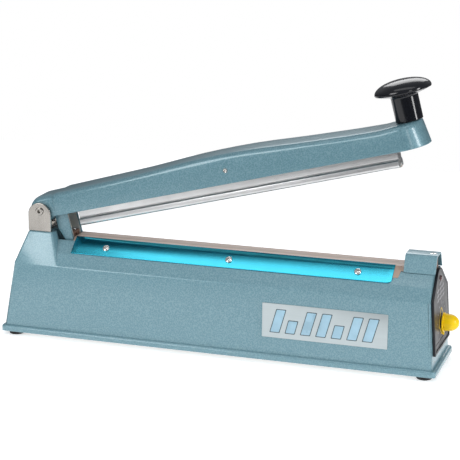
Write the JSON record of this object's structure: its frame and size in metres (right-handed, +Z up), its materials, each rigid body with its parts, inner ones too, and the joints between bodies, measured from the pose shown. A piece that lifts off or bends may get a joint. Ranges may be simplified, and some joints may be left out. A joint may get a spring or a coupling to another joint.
{
  "type": "impulse heat sealer",
  "caption": "Hand-operated impulse heat sealer with a hinged press arm over a heated sealing bed, a timer knob on the end panel and a cast base on rubber feet.",
  "frame": {"origin": "on the surface under the feet, at the middle of the whole sealer's length and width", "axes": "+X along the machine from the hinge end to the timer end, +Y to the back, +Z up"},
  "size_m": [0.4428, 0.082, 0.2681],
  "materials": {
    "hammertone_paint": "blue-grey hammertone enamel on cast aluminium",
    "zinc_sheet": "zinc-plated sheet",
    "foot_rubber": "matt black moulded rubber",
    "screw_steel": "bright nickel-plated screw",
    "nickel_plate": "satin nickel plate",
    "spring_steel": "drawn wire",
    "bakelite": "brown fabric-filled phenolic",
    "ptfe_cloth": "brown PTFE-coated glass cloth, satin",
    "blue_anodised": "brushed, blue anodised",
    "brass": "turned",
    "panel_plastic": "fine-textured moulding",
    "label_grey": "printed film",
    "lamp_lens": "dark red lens",
    "yellow_plastic": "satin moulding",
    "plate_aluminium": "brushed",
    "core_iron": "varnished laminations",
    "coil_copper": "taped enamelled winding",
    "board_plastic": "solder-masked board",
    "relay_plastic": "moulded case",
    "lead_insulation": "red silicone insulation",
    "handle_plastic": "polished black phenolic",
    "silicone": "translucent pale silicone"
  },
  "bodies": {
    "base": {"base_casting": "hammertone_paint", "bottom_cover": "zinc_sheet", "foot_1": "foot_rubber", "foot_2": "foot_rubber", "foot_3": "foot_rubber", "foot_4": "foot_rubber", "cover_screw_1": "screw_steel", "cover_screw_2": "screw_steel", "hinge_bracket": "nickel_plate", "bracket_screw_1": "screw_steel", "bracket_screw_2": "screw_steel", "pivot_pin": "nickel_plate", "pivot_nut": "nickel_plate", "return_spring": "spring_steel", "sealing_bar": "bakelite", "heating_element": "spring_steel", "ptfe_cloth": "ptfe_cloth", "clamp_strip_front": "blue_anodised", "strip_screw_front_1": "screw_steel", "strip_screw_front_2": "screw_steel", "strip_screw_front_3": "screw_steel", "clamp_strip_back": "blue_anodised", "strip_screw_back_1": "screw_steel", "strip_screw_back_2": "screw_steel", "strip_screw_back_3": "screw_steel", "left_terminal_block": "bakelite", "left_terminal_screw": "screw_steel", "right_terminal_block": "bakelite", "tension_spring": "spring_steel", "terminal_cover": "hammertone_paint", "terminal_cover_screw": "screw_steel", "control_panel": "panel_plastic", "panel_label": "label_grey", "indicator_lamp": "lamp_lens", "timer_potentiometer": "zinc_sheet", "nameplate": "plate_aluminium", "cable_grommet": "foot_rubber", "transformer_core": "core_iron", "transformer_coil": "coil_copper", "circuit_board": "board_plastic", "timer_relay": "relay_plastic", "lead_left": "lead_insulation", "lead_right": "lead_insulation", "microswitch": "panel_plastic", "switch_bracket": "zinc_sheet"},
    "press_arm": {"arm_casting": "hammertone_paint", "hinge_bush_front": "brass", "hinge_bush_back": "brass", "cheek_liner_front": "panel_plastic", "cheek_liner_back": "panel_plastic", "handle_knob": "handle_plastic", "handle_stud": "screw_steel", "jaw_pin": "screw_steel"},
    "press_jaw": {"jaw_extrusion": "plate_aluminium", "silicone_strip": "silicone"},
    "timer_dial": {"timer_knob": "yellow_plastic", "timer_shaft": "screw_steel"},
    "element_slider": {"tension_slider": "brass"},
    "lever": {"switch_lever": "spring_steel"},
    "button": {"switch_button": "lead_insulation"}
  },
  "joints": [
    {"name": "arm_hinge", "type": "hinge", "parent": "base", "child": "press_arm", "pos_m": [-0.18476, 0, 0.12265], "axis": [0, 1, 0], "range_deg": [0, 14.35], "stiffness_Nm_per_rad": 3, "springref_deg": -32.66, "deforming": ["return_spring"]},
    {"name": "jaw_rock", "type": "hinge", "parent": "press_arm", "child": "press_jaw", "pos_m": [0.00381, 0, 0.17636], "axis": [0, 1, 0], "range_deg": [-0.2, 0.2]},
    {"name": "timer_turn", "type": "hinge", "parent": "base", "child": "timer_dial", "pos_m": [0.20641, 0, 0.045], "axis": [1, 0, 0], "range_deg": [0, 270]},
    {"name": "element_tension", "type": "slide", "parent": "base", "child": "element_slider", "axis": [1, 0, 0], "range_m": [0, 0.0012], "stiffness_N_per_m": 4000, "deforming": ["tension_spring"]},
    {"name": "lever_turn", "type": "hinge", "parent": "base", "child": "lever", "pos_m": [-0.12436, 0, 0.07155], "axis": [0, 1, 0], "range_deg": [-11.5, 0]},
    {"name": "button_press", "type": "slide", "parent": "base", "child": "button", "axis": [0, 0, -1], "range_m": [0, 0.00165]}
  ],
  "couplings": [
    {"joint": "lever_turn", "follows": "arm_hinge", "ratio": -0.79},
    {"joint": "button_press", "follows": "arm_hinge", "m_per_rad": 0.0064}
  ]
}
